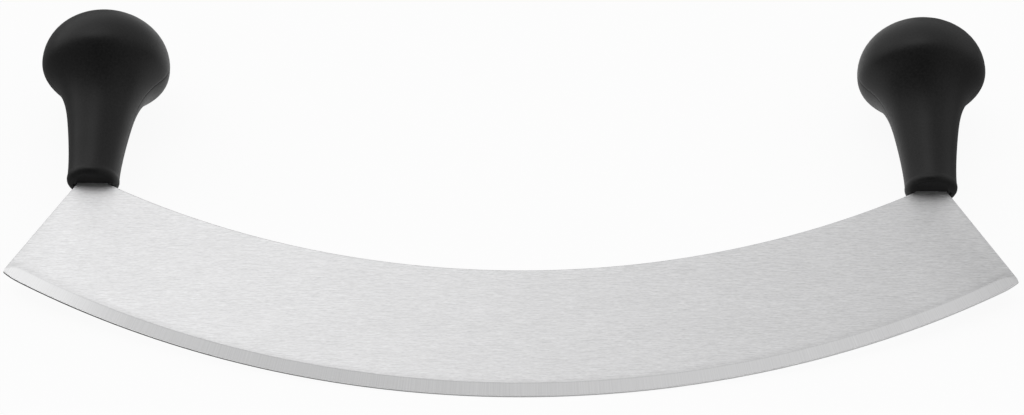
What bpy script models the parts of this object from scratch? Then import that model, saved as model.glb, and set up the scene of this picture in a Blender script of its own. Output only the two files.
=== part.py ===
"""Pizza knife: a curved rocking blade between two knob handles, each closed from two hollow shells.

Knife frame: X runs along the blade, Y from the cutting edge to the knobs, Z out of the blade's front face.
Its origin lies midway between the knobs, where their feet end, in the blade's middle plane.
The finished knife lies on a table, on both knobs and the belly of its edge.
"""

import math

import bmesh
import bpy
import numpy as np
from mathutils import Matrix, Vector

MM = 0.001
WELD = 0.001 * MM
SHARP_ANGLE = math.radians(30)
ROUND_SEGMENTS = 4

# Blade
TIP_TO_TIP = 400.0 * MM
BLADE_DEPTH = 55.4 * MM
BLADE_THICKNESS = 2.0 * MM
SPINE_DROP = 38.0 * MM
EDGE_RISE = 52.0 * MM
TIP_SWEEP_LENGTH = 8.0 * MM
TIP_SWEEP_RISE = 0.8 * MM
TIP_ROUND = 0.7 * MM
GRIND_WIDTH_BELLY = 5.8 * MM
GRIND_WIDTH_TIP = 5.4 * MM
GRIND_RUN_OUT = 3.0 * MM
HONED_WIDTH = 0.55 * MM
HONED_THICKNESS = 0.44 * MM
EDGE_THICKNESS = 0.12 * MM
EDGE_SEGMENTS = 84
SWEEP_SEGMENTS = 4
SPINE_SEGMENTS = 60
PANEL_SEGMENTS = 6

# Tangs, one inside each knob
KNOB_SPACING = 336.4 * MM
TANG_WIDTH = 12.6 * MM
TANG_LENGTH = 46.0 * MM
TANG_ROUND = 3.0 * MM

# Knob outline
KNOB_HEIGHT = 79.8 * MM
HEAD_RADIUS = 26.25 * MM
HEAD_HEIGHT = 57.7 * MM
WAIST_RADIUS = 13.3 * MM
WAIST_HEIGHT = 30.5 * MM
WAIST_SLOPE = 0.175
FOOT_RADIUS = 10.4 * MM
FOOT_FLARE = 0.15 * MM
FOOT_FLARE_HEIGHT = 4.0 * MM
FOOT_ROUND = 2.0 * MM
CROWN_FULLNESS = (0.55, 0.59)
SHOULDER_FULLNESS = (0.35, 0.78)
NECK_FULLNESS = (0.31, 0.24)
PROFILE_STEPS = (10, 10, 4, 2)
OUTER_STEPS = 48
INNER_STEPS = 32

# Knob shells
SHELL_WALL = 3.0 * MM
FOOT_WALL = 4.0 * MM
SEAM_GAP = 0.3 * MM
FIT = 0.3 * MM
LIP_INSET = 1.5 * MM
RIB_THICKNESS = 2.0 * MM
RIB_BELOW_CROWN = 13.0 * MM
MOUTH_DEPTH = 0.4 * MM
MOUTH_REACH = 6.0 * MM
MOUTH_WIDTH = 16.4 * MM
MOUTH_TAPER = 3.1 * MM

# Dowels through the tangs
DOWEL_RADIUS = 2.5 * MM
DOWEL_LENGTH = 14.0 * MM
DOWEL_CHAMFER = 0.4 * MM
LOWER_DOWEL_HEIGHT = 14.0 * MM
UPPER_DOWEL_MARGIN = 10.0 * MM
BOSS_WALL = 2.0 * MM
DOWEL_SEGMENTS = 24

# Worked out from the values above
HALF_LENGTH = TIP_TO_TIP / 2
HALF_THICKNESS = BLADE_THICKNESS / 2
BELLY_DROP = SPINE_DROP + BLADE_DEPTH
TANG_INNER = (KNOB_SPACING - TANG_WIDTH) / 2
TANG_OUTER = (KNOB_SPACING + TANG_WIDTH) / 2
TANG_SEAT = HALF_THICKNESS + FIT
DOWEL_HEIGHTS = (LOWER_DOWEL_HEIGHT, TANG_LENGTH - UPPER_DOWEL_MARGIN)
SOCKET_RADIUS = DOWEL_RADIUS + FIT
CLEAR = 3 * HEAD_RADIUS


def arc_radius(half_chord, rise):
    """Radius of the arc with this half chord and rise."""
    return (half_chord**2 + rise**2) / (2 * rise)


EDGE_RADIUS = arc_radius(HALF_LENGTH, EDGE_RISE)
EDGE_CENTRE = Vector((0, EDGE_RADIUS - BELLY_DROP))
TIP_ANGLE = math.asin(HALF_LENGTH / EDGE_RADIUS)
SWEEP_ANGLE = TIP_SWEEP_LENGTH / EDGE_RADIUS
SPINE_RADIUS = arc_radius(TANG_INNER, SPINE_DROP)
SPINE_CENTRE = Vector((0, SPINE_RADIUS - SPINE_DROP))


def new_collection(name):
    collection = bpy.data.collections.new(name)
    bpy.context.scene.collection.children.link(collection)
    return collection


def link_mesh(name, mesh, collection):
    obj = bpy.data.objects.new(name, mesh)
    collection.objects.link(obj)
    return obj


def from_bmesh(name, shape):
    """Turn a bmesh into an object among the cutting tools."""
    mesh = bpy.data.meshes.new(name)
    shape.to_mesh(mesh)
    shape.free()
    return link_mesh(name, mesh, TOOLS)


def bake(obj):
    """Replace an object's mesh with what its modifiers make of it."""
    depsgraph = bpy.context.evaluated_depsgraph_get()
    mesh = bpy.data.meshes.new_from_object(obj.evaluated_get(depsgraph))
    old = obj.data
    obj.modifiers.clear()
    obj.data = mesh
    bpy.data.meshes.remove(old)


def combine(target, operation, tool):
    """Cut a solid with a tool, join the tool to it, or keep only what they share. The tool is used up."""
    modifier = target.modifiers.new(operation.title(), "BOOLEAN")
    modifier.operation = operation
    modifier.object = tool
    modifier.solver = "EXACT"
    bake(target)
    bpy.data.objects.remove(tool)
    shape = bmesh.new()
    shape.from_mesh(target.data)
    bmesh.ops.remove_doubles(shape, verts=shape.verts, dist=WELD)
    shape.to_mesh(target.data)
    shape.free()


def box(name, low, high):
    """A box between two opposite corners."""
    low, high = Vector(low), Vector(high)
    shape = bmesh.new()
    size = Matrix.Diagonal((high - low).to_4d())
    bmesh.ops.create_cube(shape, size=1, matrix=Matrix.Translation((low + high) / 2) @ size)
    return from_bmesh(name, shape)


def cylinder(name, radius, place, low, high):
    """A cylinder square to the blade's plane, from one height over that plane to another."""
    shape = bmesh.new()
    bmesh.ops.create_cone(
        shape,
        cap_ends=True,
        segments=DOWEL_SEGMENTS,
        radius1=radius,
        radius2=radius,
        depth=high - low,
        matrix=Matrix.Translation((place[0], place[1], (low + high) / 2)),
    )
    return from_bmesh(name, shape)


def plate(name, outline, low, high):
    """A flat plate with this outline in the XY plane, from one height to another."""
    curve = bpy.data.curves.new(name, "CURVE")
    curve.dimensions = "2D"
    curve.fill_mode = "BOTH"
    curve.extrude = (high - low) / 2
    spline = curve.splines.new("POLY")
    spline.points.add(len(outline) - 1)
    for point, (x, y) in zip(spline.points, outline):
        point.co = (x, y, 0, 1)
    spline.use_cyclic_u = True
    guide = bpy.data.objects.new(name, curve)
    TOOLS.objects.link(guide)
    depsgraph = bpy.context.evaluated_depsgraph_get()
    mesh = bpy.data.meshes.new_from_object(guide.evaluated_get(depsgraph))
    bpy.data.objects.remove(guide)
    shape = bmesh.new()
    shape.from_mesh(mesh)
    bpy.data.meshes.remove(mesh)
    bmesh.ops.remove_doubles(shape, verts=shape.verts, dist=WELD)
    for facing in (1, -1):
        cap = [face for face in shape.faces if face.normal.z * facing > 0.5]
        bmesh.ops.dissolve_faces(shape, faces=cap)
    bmesh.ops.translate(shape, verts=shape.verts, vec=(0, 0, (low + high) / 2))
    return from_bmesh(name, shape)


def turned(name, profile, steps):
    """A solid turned about +Y. The profile runs from its top on the axis to its bottom on the axis."""
    mesh = bpy.data.meshes.new(name)
    edges = [(i, i + 1) for i in range(len(profile) - 1)]
    mesh.from_pydata([(radius, height, 0) for radius, height in profile], edges, [])
    obj = link_mesh(name, mesh, TOOLS)
    screw = obj.modifiers.new("Turn", "SCREW")
    screw.axis = "Y"
    screw.angle = math.tau
    screw.steps = steps
    screw.render_steps = screw.steps
    screw.use_merge_vertices = True
    screw.merge_threshold = WELD
    bake(obj)
    # The seam then runs down the middle of a facet
    obj.data.transform(Matrix.Rotation(math.pi / steps, 4, "Y"))
    return obj


def arc(centre, radius, start, end, segments):
    """Points along an arc, both ends included. Angles are counted from straight down, towards +X."""
    points = []
    for i in range(segments + 1):
        angle = start + (end - start) * i / segments
        points.append(centre + radius * Vector((math.sin(angle), -math.cos(angle))))
    return points


def round_corner(before, corner, after, radius):
    """Points of a fillet that replaces a corner of an outline."""
    to_before = (before - corner).normalized()
    to_after = (after - corner).normalized()
    half_angle = to_before.angle(to_after) / 2
    reach = radius / math.tan(half_angle)
    centre = corner + (to_before + to_after).normalized() * radius / math.sin(half_angle)
    start = corner + to_before * reach - centre
    turn = -start.angle_signed(corner + to_after * reach - centre)
    turns = [turn * i / ROUND_SEGMENTS for i in range(ROUND_SEGMENTS + 1)]
    return [centre + Matrix.Rotation(angle, 2) @ start for angle in turns]


def mirrored(points):
    return [Vector((-point.x, point.y)) for point in reversed(points)]


def edge_angles():
    """Stations along the right half of the edge, counted from the belly and closer where the tip sweeps up."""
    plain = EDGE_SEGMENTS // 2
    start = TIP_ANGLE - SWEEP_ANGLE
    angles = [start * i / plain for i in range(plain)]
    return angles + [start + SWEEP_ANGLE * i / SWEEP_SEGMENTS for i in range(SWEEP_SEGMENTS + 1)]


def sweep_share(angle):
    """0 up to where the tip begins to sweep up, and 1 at the tip."""
    return min(max(0, 1 - (TIP_ANGLE - abs(angle)) / SWEEP_ANGLE), 1)


def edge_radius_at(angle):
    """Distance of the edge from the centre of its arc, which it leaves towards the tips."""
    return EDGE_RADIUS - TIP_SWEEP_RISE * sweep_share(angle) ** 2


def on_edge(angle):
    return EDGE_CENTRE + edge_radius_at(angle) * Vector((math.sin(angle), -math.cos(angle)))


def blade_outline():
    """Anticlockwise outline of the blank, from the belly round the right half and then the left."""
    edge = [on_edge(angle) for angle in edge_angles()]
    spine_angle = math.asin(TANG_INNER / SPINE_RADIUS)
    spine = arc(SPINE_CENTRE, SPINE_RADIUS, spine_angle, 0, SPINE_SEGMENTS // 2)
    neck = Vector((TANG_OUTER, 0))
    tang_top_outer = Vector((TANG_OUTER, TANG_LENGTH))
    tang_top_inner = Vector((TANG_INNER, TANG_LENGTH))
    right = edge[:-1]
    right += round_corner(edge[-2], edge[-1], neck, TIP_ROUND)
    right.append(neck)
    right += round_corner(neck, tang_top_outer, tang_top_inner, TANG_ROUND)
    right += round_corner(tang_top_outer, tang_top_inner, spine[0], TANG_ROUND)
    right += spine
    return right + mirrored(right)[1:-1]


def grind_width(angle):
    """Width of the grind, widest at the belly and running out at the tips."""
    share = angle / TIP_ANGLE
    width = GRIND_WIDTH_BELLY + (GRIND_WIDTH_TIP - GRIND_WIDTH_BELLY) * share**2
    return width - GRIND_RUN_OUT * sweep_share(angle) ** 3


def grind_section(angle, side):
    """Section of what the grindstone takes off one face, as (radius from the edge arc's centre, height)."""
    edge = edge_radius_at(angle)
    start = EDGE_RADIUS - grind_width(angle)
    ground_slope = (BLADE_THICKNESS - HONED_THICKNESS) / 2 / (edge - HONED_WIDTH - start)
    honed_slope = (HONED_THICKNESS - EDGE_THICKNESS) / 2 / HONED_WIDTH
    over_run = EDGE_THICKNESS / 2
    inside = start - over_run
    outside = edge + over_run
    over = 2 * BLADE_THICKNESS
    return [
        (inside, side * (HALF_THICKNESS + over_run * ground_slope)),
        (edge - HONED_WIDTH, side * HONED_THICKNESS / 2),
        (outside, side * (EDGE_THICKNESS / 2 - over_run * honed_slope)),
        (outside, side * over),
        (inside, side * over),
    ]


def grind_tool(side):
    """The stone's path along the whole edge and a little past both tips."""
    shape = bmesh.new()
    rings = []
    right = edge_angles()
    right.append(2 * right[-1] - right[-2])
    for angle in [-angle for angle in reversed(right)] + right[1:]:
        out = Vector((math.sin(angle), -math.cos(angle)))
        ring = []
        for radius, height in grind_section(angle, side):
            place = EDGE_CENTRE + out * radius
            ring.append(shape.verts.new((place.x, place.y, height)))
        rings.append(ring)
    for ring, following in zip(rings, rings[1:]):
        for i in range(len(ring)):
            j = (i + 1) % len(ring)
            shape.faces.new((ring[i], ring[j], following[j], following[i]))
    shape.faces.new(rings[0])
    shape.faces.new(rings[-1])
    bmesh.ops.recalc_face_normals(shape, faces=shape.faces)
    return from_bmesh("grind", shape)


def split_blank(mesh):
    """Divide the blank's long faces by lines across the blade and by one where the tangs begin."""
    cuts = [(Vector((0, 0, 0)), Vector((0, 1, 0)))]
    for angle in edge_angles()[: EDGE_SEGMENTS // 2 : PANEL_SEGMENTS]:
        for turn in sorted({angle, -angle}):
            cuts.append((EDGE_CENTRE.to_3d(), Vector((math.cos(turn), math.sin(turn), 0))))
    shape = bmesh.new()
    shape.from_mesh(mesh)
    for place, normal in cuts:
        geometry = shape.verts[:] + shape.edges[:] + shape.faces[:]
        bmesh.ops.bisect_plane(shape, geom=geometry, dist=WELD, plane_co=place, plane_no=normal)
    shape.to_mesh(mesh)
    shape.free()


def make_blade():
    """The stamped blank, ground on both faces and drilled for the dowels."""
    blade = plate("blank", blade_outline(), -HALF_THICKNESS, HALF_THICKNESS)
    split_blank(blade.data)
    for side in (1, -1):
        combine(blade, "DIFFERENCE", grind_tool(side))
    for knob_x in (-KNOB_SPACING / 2, KNOB_SPACING / 2):
        for height in DOWEL_HEIGHTS:
            hole = cylinder("hole", SOCKET_RADIUS, (knob_x, height), -BLADE_THICKNESS, BLADE_THICKNESS)
            combine(blade, "DIFFERENCE", hole)
    return blade


def knob_curves():
    """The knob's line from crown to foot: four Bezier stretches of (radius, height)."""
    crown_height = KNOB_HEIGHT - HEAD_HEIGHT
    shoulder_height = HEAD_HEIGHT - WAIST_HEIGHT
    flared = FOOT_RADIUS + FOOT_FLARE
    crown = (
        Vector((0, KNOB_HEIGHT)),
        Vector((CROWN_FULLNESS[0] * HEAD_RADIUS, KNOB_HEIGHT)),
        Vector((HEAD_RADIUS, HEAD_HEIGHT + CROWN_FULLNESS[1] * crown_height)),
        Vector((HEAD_RADIUS, HEAD_HEIGHT)),
    )
    rise = SHOULDER_FULLNESS[1] * shoulder_height
    shoulder = (
        crown[3],
        Vector((HEAD_RADIUS, HEAD_HEIGHT - SHOULDER_FULLNESS[0] * shoulder_height)),
        Vector((WAIST_RADIUS + WAIST_SLOPE * rise, WAIST_HEIGHT + rise)),
        Vector((WAIST_RADIUS, WAIST_HEIGHT)),
    )
    neck_height = WAIST_HEIGHT - FOOT_FLARE_HEIGHT
    fall = NECK_FULLNESS[0] * neck_height
    neck = (
        shoulder[3],
        Vector((WAIST_RADIUS - WAIST_SLOPE * fall, WAIST_HEIGHT - fall)),
        Vector((FOOT_RADIUS, FOOT_FLARE_HEIGHT + NECK_FULLNESS[1] * neck_height)),
        Vector((FOOT_RADIUS, FOOT_FLARE_HEIGHT)),
    )
    flare_middle = (FOOT_FLARE_HEIGHT + FOOT_ROUND) / 2
    foot = (
        neck[3],
        Vector((FOOT_RADIUS, flare_middle)),
        Vector((flared, flare_middle)),
        Vector((flared, FOOT_ROUND)),
    )
    return crown, shoulder, neck, foot


def bezier(points, t):
    """Place and direction on a Bezier stretch."""
    a, b, c, d = points
    s = 1 - t
    place = s**3 * a + 3 * s * s * t * b + 3 * s * t * t * c + t**3 * d
    direction = s * s * (b - a) + 2 * s * t * (c - b) + t * t * (d - c)
    return place, direction.normalized()


def knob_profile(inset, floor, coarseness=1):
    """The knob's line moved inwards by inset and closed by a flat end at the height floor."""
    profile = [Vector((0, KNOB_HEIGHT - inset))]
    for points, steps in zip(knob_curves(), PROFILE_STEPS):
        for i in range(coarseness, steps + 1, coarseness):
            place, direction = bezier(points, i / steps)
            place += inset * Vector((direction.y, -direction.x))
            if place.y > floor + FOOT_ROUND / 2:
                profile.append(place)
    side = profile[-1].x
    corner = FOOT_ROUND - inset
    if corner > FOOT_ROUND / 2:
        centre = Vector((side - corner, floor + corner))
        for i in range(1, ROUND_SEGMENTS + 1):
            angle = math.pi / 2 * i / ROUND_SEGMENTS
            profile.append(centre + corner * Vector((math.cos(angle), -math.sin(angle))))
    else:
        profile.append(Vector((side, floor)))
    profile.append(Vector((0, floor)))
    return profile


def turned_inside(name, inset, floor):
    """A turned solid that follows the knob from inside, with fewer facets."""
    return turned(name, knob_profile(inset, floor, coarseness=2), INNER_STEPS)


def slab(low, high):
    """A slab parallel to the blade's plane, wider than a knob."""
    return box("slab", (-CLEAR, -CLEAR, low), (CLEAR, CLEAR, high))


def sided(side, near, far):
    """Two heights on one side of the blade's plane, the lower one first."""
    return sorted((side * near, side * far))


def knob_ribs(side):
    """Inner walls of a shell: one along the knob, some across it, and a boss round each dowel."""
    low, high = sided(side, SEAM_GAP / 2, CLEAR)
    half = RIB_THICKNESS / 2
    between_dowels = sum(DOWEL_HEIGHTS) / 2
    tang_stop = TANG_LENGTH + half
    in_crown = KNOB_HEIGHT - SHELL_WALL - RIB_BELOW_CROWN
    ribs = box("ribs", (-half, -CLEAR, low), (half, CLEAR, high))
    for height in (between_dowels, tang_stop, in_crown):
        rib = box("rib", (-CLEAR, height - half, low), (CLEAR, height + half, high))
        combine(ribs, "UNION", rib)
    for height in DOWEL_HEIGHTS:
        combine(ribs, "UNION", cylinder("boss", SOCKET_RADIUS + BOSS_WALL, (0, height), low, high))
    return ribs


def mouth_tool(side):
    """The shallow recess round the blade in the foot's flat end."""
    half_wide = MOUTH_WIDTH / 2
    half_narrow = half_wide - MOUTH_TAPER
    outline = [
        (-half_wide, -side * FIT),
        (half_wide, -side * FIT),
        (half_narrow, side * MOUTH_REACH),
        (-half_narrow, side * MOUTH_REACH),
    ]
    tool = plate("mouth", outline, -MOUTH_DEPTH, MOUTH_DEPTH)
    tool.data.transform(Matrix.Rotation(math.pi / 2, 4, "X"))
    return tool


def make_shell(side):
    """Half of a hollow knob, on the blade's front (side 1) or back (side -1)."""
    shell = turned("shell", knob_profile(0, 0), OUTER_STEPS)
    combine(shell, "INTERSECT", slab(*sided(side, SEAM_GAP / 2, CLEAR)))
    if side > 0:
        lip = turned_inside("lip", LIP_INSET + FIT, LIP_INSET + FIT)
        combine(lip, "INTERSECT", slab(-HALF_THICKNESS, SHELL_WALL))
        combine(shell, "UNION", lip)
    else:
        rebate = turned_inside("rebate", LIP_INSET, LIP_INSET)
        combine(rebate, "INTERSECT", slab(-TANG_SEAT, SHELL_WALL))
        combine(shell, "DIFFERENCE", rebate)
    pockets = turned_inside("pockets", SHELL_WALL, FOOT_WALL)
    combine(pockets, "DIFFERENCE", knob_ribs(side))
    combine(shell, "DIFFERENCE", pockets)
    slot_half = TANG_WIDTH / 2 + FIT
    low, high = sided(side, -CLEAR, TANG_SEAT)
    slot = box("slot", (-slot_half, -CLEAR, low), (slot_half, TANG_LENGTH + FIT, high))
    combine(shell, "DIFFERENCE", slot)
    combine(shell, "DIFFERENCE", mouth_tool(side))
    for height in DOWEL_HEIGHTS:
        low, high = sided(side, -CLEAR, DOWEL_LENGTH / 2 + FIT)
        combine(shell, "DIFFERENCE", cylinder("socket", SOCKET_RADIUS, (0, height), low, high))
    return shell


def make_dowel():
    """A steel pin with both ends chamfered."""
    dowel = cylinder("dowel", DOWEL_RADIUS, (0, 0), -DOWEL_LENGTH / 2, DOWEL_LENGTH / 2)
    bevel = dowel.modifiers.new("Chamfer", "BEVEL")
    bevel.width = DOWEL_CHAMFER
    bevel.segments = 1
    bevel.limit_method = "ANGLE"
    bevel.angle_limit = SHARP_ANGLE
    bake(dowel)
    return dowel


def place_part(name, source, place, look):
    """A finished part: its own mesh and material, at its place in the knife frame."""
    obj = link_mesh(name, source.data.copy(), PARTS)
    obj.data.name = name
    obj.location = place
    obj.parent = KNIFE
    obj.data.shade_smooth()
    obj.data.set_sharp_from_angle(angle=SHARP_ANGLE)
    colour, metallic, roughness = look
    material = bpy.data.materials.new(name)
    material.use_nodes = True
    principled = material.node_tree.nodes["Principled BSDF"]
    principled.inputs["Base Color"].default_value = (*colour, 1)
    principled.inputs["Metallic"].default_value = metallic
    principled.inputs["Roughness"].default_value = roughness
    obj.data.materials.clear()
    obj.data.materials.append(material)
    triangles = obj.modifiers.new("Triangles", "TRIANGULATE")
    triangles.ngon_method = "BEAUTY"
    return obj


def corners(objects):
    """All corners of these objects in the knife frame."""
    places = [vertex.co + obj.location for obj in objects for vertex in obj.data.vertices]
    return np.array([tuple(place) for place in places])


def lowest(points, tilt):
    return (points[:, 1] * math.sin(tilt) + points[:, 2] * math.cos(tilt)).min()


def lay_on_table(blade, knobs):
    """Tilt the knife until knobs and edge stand equally low, then put the table under it and centre it."""
    blade_points = corners([blade])
    knob_points = corners(knobs)
    low, high = 0.0, math.pi / 4
    for _ in range(50):
        tilt = (low + high) / 2
        if lowest(knob_points, tilt) < lowest(blade_points, tilt):
            low = tilt
        else:
            high = tilt
    turn = Matrix.Rotation(tilt, 3, "X")
    points = np.vstack([blade_points, knob_points]) @ np.array(turn).T
    middle = (points.min(axis=0) + points.max(axis=0)) / 2
    KNIFE.rotation_euler = (tilt, 0, 0)
    KNIFE.location = (-middle[0], -middle[1], -points[:, 2].min())


STEEL = ((0.63, 0.63, 0.64), 1.0, 0.35)
BLACK_PLASTIC = ((0.012, 0.012, 0.013), 0.0, 0.45)

for leftover in list(bpy.data.objects):
    bpy.data.objects.remove(leftover)
PARTS = new_collection("pizza_knife")
TOOLS = new_collection("cutting_tools")
KNIFE = bpy.data.objects.new("knife_frame", None)
PARTS.objects.link(KNIFE)

blade = place_part("blade", make_blade(), (0, 0, 0), STEEL)
shells = {"front": make_shell(1), "back": make_shell(-1)}
dowel = make_dowel()
knobs = []
for hand, knob_x in (("left", -KNOB_SPACING / 2), ("right", KNOB_SPACING / 2)):
    for face, shell in shells.items():
        knobs.append(place_part(f"{hand}_handle_{face}_shell", shell, (knob_x, 0, 0), BLACK_PLASTIC))
    for level, height in zip(("lower", "upper"), DOWEL_HEIGHTS):
        place_part(f"{hand}_handle_{level}_dowel", dowel, (knob_x, height, 0), STEEL)
lay_on_table(blade, knobs)
for tool in list(TOOLS.objects):
    bpy.data.objects.remove(tool)
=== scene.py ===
import math

import bmesh
import bpy
from bpy.props import FloatProperty, FloatVectorProperty, PointerProperty
from bpy.types import Operator, Panel, PropertyGroup
from mathutils import Matrix, Vector


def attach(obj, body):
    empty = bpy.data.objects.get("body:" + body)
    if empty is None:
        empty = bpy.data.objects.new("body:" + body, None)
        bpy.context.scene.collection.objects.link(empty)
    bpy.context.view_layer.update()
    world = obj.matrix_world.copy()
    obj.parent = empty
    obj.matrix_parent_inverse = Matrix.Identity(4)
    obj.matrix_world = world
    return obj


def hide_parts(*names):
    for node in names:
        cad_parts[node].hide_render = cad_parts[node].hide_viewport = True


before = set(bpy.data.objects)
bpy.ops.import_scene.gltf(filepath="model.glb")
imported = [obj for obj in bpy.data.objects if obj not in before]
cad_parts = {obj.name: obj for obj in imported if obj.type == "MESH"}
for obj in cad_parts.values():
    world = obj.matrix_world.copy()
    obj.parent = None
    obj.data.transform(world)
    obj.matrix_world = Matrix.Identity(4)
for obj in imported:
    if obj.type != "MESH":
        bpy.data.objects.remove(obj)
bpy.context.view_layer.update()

bl_info = {
    "name": "Pizza Knife",
    "version": (1, 0, 0),
    "blender": (4, 5, 0),
    "location": "View3D > Sidebar > Pizza Knife",
    "description": "Dresses the pizza knife's parts and lays it in a small white studio",
    "category": "Object",
}

MM = 0.001
MERGE = 0.001 * MM
SLIVER = 0.01 * MM

# The knife frame: X along the blade, Y from the edge to the knobs, Z out of the blade's front face
KNIFE_ORIGIN = Vector((0, 0.0065149, 0.0161045))
KNIFE_TILT = math.radians(9.85249)
KNIFE_TO_WORLD = Matrix.Translation(KNIFE_ORIGIN) @ Matrix.Rotation(KNIFE_TILT, 4, "X")
WORLD_TO_KNIFE = KNIFE_TO_WORLD.inverted()
FRONT_NORMAL = (KNIFE_TO_WORLD.to_3x3() @ Vector((0, 0, 1))).normalized()

# How faces of the blade are told apart, as the cosine of their angle to the front face
FLAT_COSINE = 0.9995
GROUND_COSINE = 0.7
SQUARE_COSINE = 0.1

# Slope from which an edge of the blade's outline belongs to a slanting end
END_SLOPE = 0.5

# The blade's materials, in the order of its slots
BRUSHED, GROUND, HONED, CUT = range(4)

# The knob's outline: its slope at the waist, and how full it is between its main places, as shares
# of the radii and heights there
WAIST_SLOPE = 0.175
CROWN_FULLNESS = (0.55, 0.59)
SHOULDER_FULLNESS = (0.35, 0.78)
NECK_FULLNESS = (0.31, 0.24)

# How finely the knobs and bevels are divided
OUTLINE_STEPS = (6, 12, 22, 18)
ROUND_STEPS = 4
OUTER_STEPS = 96
INNER_STEPS = 64
BEVEL_SEGMENTS = 2

# Where the side of a shell's hollow starts above its floor
HOLLOW_MARGIN = 0.2 * MM

# How sharp an edge of the seam is, and the cosine below which a face lies off the seam's plane
SEAM_ANGLE = math.radians(30)
SEAM_COSINE = 0.5

# Angles up to which faces count as one flat face, and up to which the pieces are shaded smoothly
FLAT_ANGLE = math.radians(0.02)
BLADE_CREASE = math.radians(5)
KNOB_CREASE = math.radians(30)

# The range that noise usually fills
NOISE_LOW = 0.25
NOISE_HIGH = 0.75

# Brushed grain: each kind of line's length beside the usual one, and where its noise starts
GRAIN_LINES = ((2.5, 0), (1, 0.3), (0.45, 0.7))

# Soft patches in a metre along the blade and across it, and the depth of all fine lines
PATCH_STRETCH = (30, 120, 120)
LINE_DEPTH = 0.01 * MM

# Ground bevel: size of its slow changes, how often its lines change in a metre of their length,
# and the painted shade of a dark line where it begins, by height over the blade's middle plane
SLOW_SPACING = 9 * MM
LINE_DRIFT = 30
SLOW_DRIFT = 20
BEGIN_DEPTHS = (0.91 * MM, 0.97 * MM)
BEGIN_PAINTED_SHADE = 0.9

# Shares of half the blade's length where the bevel's painted light starts to change towards each tip, a
# painted highlight at the left and painted shade at the right
LEFT_TIP_START = -0.75
RIGHT_TIP_START = 0.85

# The bevel takes on the left tip's lean over half the blade's length divided by this
TIP_LEAN_RATE = 3.5

# Honed edge: height over the blade's middle plane where its last hair's breadth, which carries painted shade,
# begins
EDGE_SHADE_DEPTHS = (0.12 * MM, 0.18 * MM)

# Spots of the plain steels and pits of the plastic
HONED_SPOT = 0.4 * MM
CUT_SPOT = 0.5 * MM
DOWEL_SPOT = 0.6 * MM
PIT_SIZE = 0.8 * MM
PIT_DEPTH = 0.06 * MM
WEAR_SIZE = 14 * MM

# How far noise moves brightness and roughness up and down, and how strongly it shows in relief
GRAIN_SHADE = 0.34
GRAIN_ROUGHNESS = 0.05
GRAIN_RELIEF = 0.3
PATCH_SHADE = 0.015
GROUND_SHADE = 0.09
GROUND_ROUGHNESS = 0.04
GROUND_RELIEF = 0.2
SLOW_SHADE = 0.015
SPOT_SHADE = 0.06
SPOT_ROUGHNESS = 0.05
PIT_SHADE = 0.75
PIT_ROUGHNESS = 0.08
PIT_RELIEF = 0.8
WEAR_ROUGHNESS = 0.03

# Studio: size and roughness of the floor, and where the room's light changes, from left, -1, to right, 1
FLOOR_SIZE = 12
FLOOR_ROUGHNESS = 0.9
BACK_CHANGE = (-0.8, 0.4)
FRONT_CHANGE = 0.7
ROOM_BLUR = math.radians(8)


def length(name, description, default):
    """A size in metres."""
    return FloatProperty(
        name=name,
        description=description,
        default=default,
        subtype="DISTANCE",
        unit="LENGTH",
        precision=5,
    )


def angle(name, description, degrees):
    """An angle, given in degrees."""
    return FloatProperty(
        name=name,
        description=description,
        default=math.radians(degrees),
        subtype="ANGLE",
        unit="ROTATION",
    )


def share(name, description, default):
    """A share from 0 to 1."""
    return FloatProperty(
        name=name,
        description=description,
        default=default,
        min=0,
        max=1,
        subtype="FACTOR",
    )


def level(name, description, default):
    """A brightness, 1 for plain white or for no change."""
    return FloatProperty(name=name, description=description, default=default, min=0)


def number(name, description, default):
    """A plain number of either sign."""
    return FloatProperty(name=name, description=description, default=default)


def colour(name, description, default):
    """A linear colour."""
    return FloatVectorProperty(
        name=name,
        description=description,
        default=default,
        size=3,
        min=0,
        max=1,
        subtype="COLOR",
    )


class KnobSizes(PropertyGroup):
    """The turned outline of a knob and the two shells it is closed from."""

    spacing: length("Spacing", "Distance between the knobs' axes", 336.4 * MM)
    height: length("Height", "From the foot to the crown", 79.62 * MM)
    head_radius: length("Head radius", "Widest radius of the head", 26.17 * MM)
    head_height: length("Head height", "Height of the widest place", 57.7 * MM)
    waist_radius: length("Waist radius", "Radius where the head runs into the neck", 13.3 * MM)
    waist_height: length("Waist height", "Height of the waist", 30.5 * MM)
    foot_radius: length("Foot radius", "Radius of the neck above the foot", 10.4 * MM)
    foot_flare: length("Foot flare", "How far the foot's rim stands out", 0.15 * MM)
    foot_flare_height: length("Flare height", "Height where the flare starts", 4.0 * MM)
    foot_round: length("Foot rounding", "Radius of the rim's lower edge", 2.0 * MM)
    wall: length("Wall", "Thickness of a shell", 3.0 * MM)
    seam_gap: length("Seam gap", "Gap between the left knob's front and back shell", 0.1 * MM)
    seam_round: length("Seam rounding", "Bevel along that seam's outer edges", 0.12 * MM)
    tight_gap: length("Tight seam gap", "Gap between the right knob's shells, which close tighter", 0.02 * MM)
    tight_round: length("Tight seam rounding", "Bevel along that tighter seam's outer edges", 0.03 * MM)
    slot_width: length("Slot width", "Width of the slot for the tang", 13.2 * MM)
    slot_depth: length("Slot depth", "Length of the slot for the tang", 46.3 * MM)
    slot_half: length("Slot half height", "Half of the height of the slot", 1.15 * MM)
    mouth_width: length("Mouth width", "Width of the recess in the foot, at the blade", 16.4 * MM)
    mouth_taper: length("Mouth taper", "How much each side of the recess slants in", 3.1 * MM)
    mouth_reach: length("Mouth reach", "How far the recess reaches from the blade", 6.0 * MM)
    mouth_depth: length("Mouth depth", "Depth of the recess in the foot", 0.4 * MM)


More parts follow.
